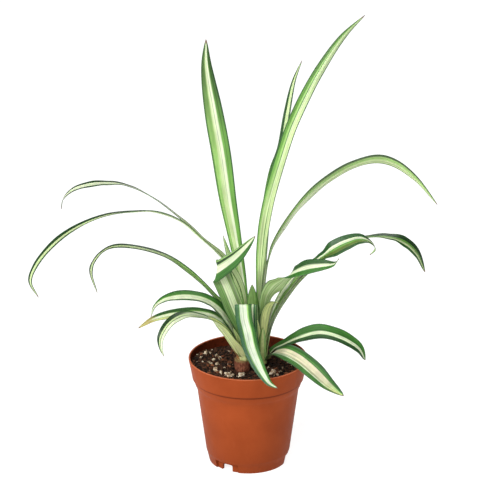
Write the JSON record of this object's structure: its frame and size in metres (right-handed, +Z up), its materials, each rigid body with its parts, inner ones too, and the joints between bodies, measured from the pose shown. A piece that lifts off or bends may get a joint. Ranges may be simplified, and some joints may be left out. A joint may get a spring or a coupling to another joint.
{
  "type": "potted spider plant",
  "caption": "Potted house plant: two rooted shoots of long, arching, cream-striped green leaves in potting soil, in a small round plastic nursery pot.",
  "frame": {"origin": "middle of the pot's underside, on the surface the pot stands on", "axes": "+Z up along the pot's axis, -Y towards the front, +X to the right"},
  "size_m": [0.3438, 0.1861, 0.3855],
  "materials": {
    "pot_plastic": "satin",
    "soil": "rough and crumbly",
    "stem": "papery and fibrous",
    "leaf": "smooth, softly waxy"
  },
  "bodies": {
    "root": {"nursery_pot": "pot_plastic", "potting_soil": "soil", "crown_stem_left": "stem", "crown_stem_right": "stem", "leaf_tall_left": "leaf", "leaf_tall_right": "leaf", "leaf_thin_right": "leaf", "leaf_arch_right": "leaf", "leaf_arch_upper_left": "leaf", "leaf_arch_long_left": "leaf", "leaf_arch_lower_left": "leaf", "leaf_folded_back": "leaf", "leaf_small_upright": "leaf", "leaf_front_fold": "leaf", "leaf_front_narrow": "leaf", "leaf_curl_left": "leaf", "leaf_low_left": "leaf", "leaf_drooping_left": "leaf", "leaf_twisted_right": "leaf", "leaf_curl_right": "leaf", "leaf_arch_lower_right": "leaf", "leaf_short_right": "leaf", "leaf_low_right": "leaf", "leaf_broad_low_right": "leaf"}
  },
  "joints": []
}
